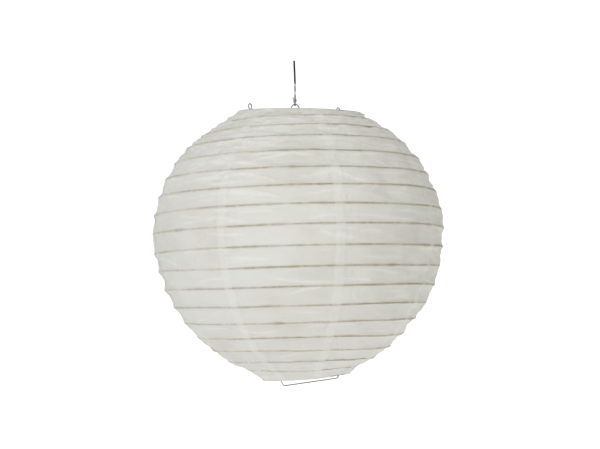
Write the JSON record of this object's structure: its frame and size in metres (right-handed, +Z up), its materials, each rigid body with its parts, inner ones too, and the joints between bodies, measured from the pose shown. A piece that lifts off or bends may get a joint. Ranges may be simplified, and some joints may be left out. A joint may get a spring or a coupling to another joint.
{
  "type": "accordion paper lantern",
  "caption": "Round paper lantern on bamboo hoops that folds flat like an accordion, held open by a bent wire expander and hung from a short hooked wire.",
  "frame": {"origin": "the top end of the hanging wire, on its axis", "axes": "+Z up along the hanging wire; the expander, its crossbar and its bottom bar lie in the XZ plane"},
  "size_m": [0.404, 0.404, 0.4485],
  "materials": {
    "paper": "matte translucent rice paper",
    "bamboo": "split bamboo, satin",
    "steel_wire": "dull galvanised",
    "black_sleeve": "satin black"
  },
  "bodies": {
    "hanger": {"hanging_wire": "steel_wire", "wire_sleeve": "black_sleeve", "wire_twist": "steel_wire"},
    "expander": {"crossbar": "steel_wire", "left_eye": "steel_wire", "right_eye": "steel_wire", "left_shoulder": "steel_wire", "right_shoulder": "steel_wire", "left_leg": "steel_wire", "right_leg": "steel_wire", "left_foot": "steel_wire", "right_foot": "steel_wire", "bottom_bar": "steel_wire", "top_ring": "steel_wire", "top_hem": "paper", "paper_01": "paper"},
    "hoop_01": {"rib_01": "bamboo", "paper_02": "paper"},
    "hoop_02": {"rib_02": "bamboo", "paper_03": "paper"},
    "hoop_03": {"rib_03": "bamboo", "paper_04": "paper"},
    "hoop_04": {"rib_04": "bamboo", "paper_05": "paper"},
    "hoop_05": {"rib_05": "bamboo", "paper_06": "paper"},
    "hoop_06": {"rib_06": "bamboo", "paper_07": "paper"},
    "hoop_07": {"rib_07": "bamboo", "paper_08": "paper"},
    "hoop_08": {"rib_08": "bamboo", "paper_09": "paper"},
    "hoop_09": {"rib_09": "bamboo", "paper_10": "paper"},
    "hoop_10": {"rib_10": "bamboo", "paper_11": "paper"},
    "hoop_11": {"rib_11": "bamboo", "paper_12": "paper"},
    "hoop_12": {"rib_12": "bamboo", "paper_13": "paper"},
    "hoop_13": {"rib_13": "bamboo", "paper_14": "paper"},
    "hoop_14": {"rib_14": "bamboo", "paper_15": "paper"},
    "hoop_15": {"rib_15": "bamboo", "paper_16": "paper"},
    "hoop_16": {"rib_16": "bamboo", "paper_17": "paper"},
    "hoop_17": {"rib_17": "bamboo", "paper_18": "paper"},
    "bottom_end": {"bottom_ring": "steel_wire", "bottom_hem": "paper"}
  },
  "joints": [
    {"name": "lantern_swing", "type": "hinge", "parent": "hanger", "child": "expander", "pos_m": [0, 0, -0.0617], "axis": [1, 0, 0], "range_deg": [-40, 40]},
    {"name": "shell_fold", "type": "slide", "parent": "expander", "child": "hoop_01", "axis": [0, 0, 1], "range_m": [0, 0.01427], "deforming": ["paper_01"]},
    {"name": "fold_02", "type": "slide", "parent": "hoop_01", "child": "hoop_02", "axis": [0, 0, 1], "range_m": [0, 0.01225], "deforming": ["paper_02"]},
    {"name": "fold_03", "type": "slide", "parent": "hoop_02", "child": "hoop_03", "axis": [0, 0, 1], "range_m": [0, 0.01493], "deforming": ["paper_03"]},
    {"name": "fold_04", "type": "slide", "parent": "hoop_03", "child": "hoop_04", "axis": [0, 0, 1], "range_m": [0, 0.01724], "deforming": ["paper_04"]},
    {"name": "fold_05", "type": "slide", "parent": "hoop_04", "child": "hoop_05", "axis": [0, 0, 1], "range_m": [0, 0.01915], "deforming": ["paper_05"]},
    {"name": "fold_06", "type": "slide", "parent": "hoop_05", "child": "hoop_06", "axis": [0, 0, 1], "range_m": [0, 0.02062], "deforming": ["paper_06"]},
    {"name": "fold_07", "type": "slide", "parent": "hoop_06", "child": "hoop_07", "axis": [0, 0, 1], "range_m": [0, 0.02162], "deforming": ["paper_07"]},
    {"name": "fold_08", "type": "slide", "parent": "hoop_07", "child": "hoop_08", "axis": [0, 0, 1], "range_m": [0, 0.02212], "deforming": ["paper_08"]},
    {"name": "fold_09", "type": "slide", "parent": "hoop_08", "child": "hoop_09", "axis": [0, 0, 1], "range_m": [0, 0.02337], "deforming": ["paper_09"]},
    {"name": "fold_10", "type": "slide", "parent": "hoop_09", "child": "hoop_10", "axis": [0, 0, 1], "range_m": [0, 0.02292], "deforming": ["paper_10"]},
    {"name": "fold_11", "type": "slide", "parent": "hoop_10", "child": "hoop_11", "axis": [0, 0, 1], "range_m": [0, 0.02202], "deforming": ["paper_11"]},
    {"name": "fold_12", "type": "slide", "parent": "hoop_11", "child": "hoop_12", "axis": [0, 0, 1], "range_m": [0, 0.0207], "deforming": ["paper_12"]},
    {"name": "fold_13", "type": "slide", "parent": "hoop_12", "child": "hoop_13", "axis": [0, 0, 1], "range_m": [0, 0.01897], "deforming": ["paper_13"]},
    {"name": "fold_14", "type": "slide", "parent": "hoop_13", "child": "hoop_14", "axis": [0, 0, 1], "range_m": [0, 0.01687], "deforming": ["paper_14"]},
    {"name": "fold_15", "type": "slide", "parent": "hoop_14", "child": "hoop_15", "axis": [0, 0, 1], "range_m": [0, 0.01442], "deforming": ["paper_15"]},
    {"name": "fold_16", "type": "slide", "parent": "hoop_15", "child": "hoop_16", "axis": [0, 0, 1], "range_m": [0, 0.01168], "deforming": ["paper_16"]},
    {"name": "fold_17", "type": "slide", "parent": "hoop_16", "child": "hoop_17", "axis": [0, 0, 1], "range_m": [0, 0.00869], "deforming": ["paper_17"]},
    {"name": "fold_18", "type": "slide", "parent": "hoop_17", "child": "bottom_end", "axis": [0, 0, 1], "range_m": [0, 0.00955], "deforming": ["paper_18"]}
  ],
  "couplings": [
    {"joint": "fold_02", "follows": "shell_fold", "ratio": 0.85847},
    {"joint": "fold_03", "follows": "shell_fold", "ratio": 1.046},
    {"joint": "fold_04", "follows": "shell_fold", "ratio": 1.2083},
    {"joint": "fold_05", "follows": "shell_fold", "ratio": 1.3423},
    {"joint": "fold_06", "follows": "shell_fold", "ratio": 1.4452},
    {"joint": "fold_07", "follows": "shell_fold", "ratio": 1.515},
    {"joint": "fold_08", "follows": "shell_fold", "ratio": 1.5502},
    {"joint": "fold_09", "follows": "shell_fold", "ratio": 1.6376},
    {"joint": "fold_10", "follows": "shell_fold", "ratio": 1.606},
    {"joint": "fold_11", "follows": "shell_fold", "ratio": 1.5433},
    {"joint": "fold_12", "follows": "shell_fold", "ratio": 1.4506},
    {"joint": "fold_13", "follows": "shell_fold", "ratio": 1.3295},
    {"joint": "fold_14", "follows": "shell_fold", "ratio": 1.182},
    {"joint": "fold_15", "follows": "shell_fold", "ratio": 1.0108},
    {"joint": "fold_16", "follows": "shell_fold", "ratio": 0.81857},
    {"joint": "fold_17", "follows": "shell_fold", "ratio": 0.60879},
    {"joint": "fold_18", "follows": "shell_fold", "ratio": 0.6693}
  ]
}
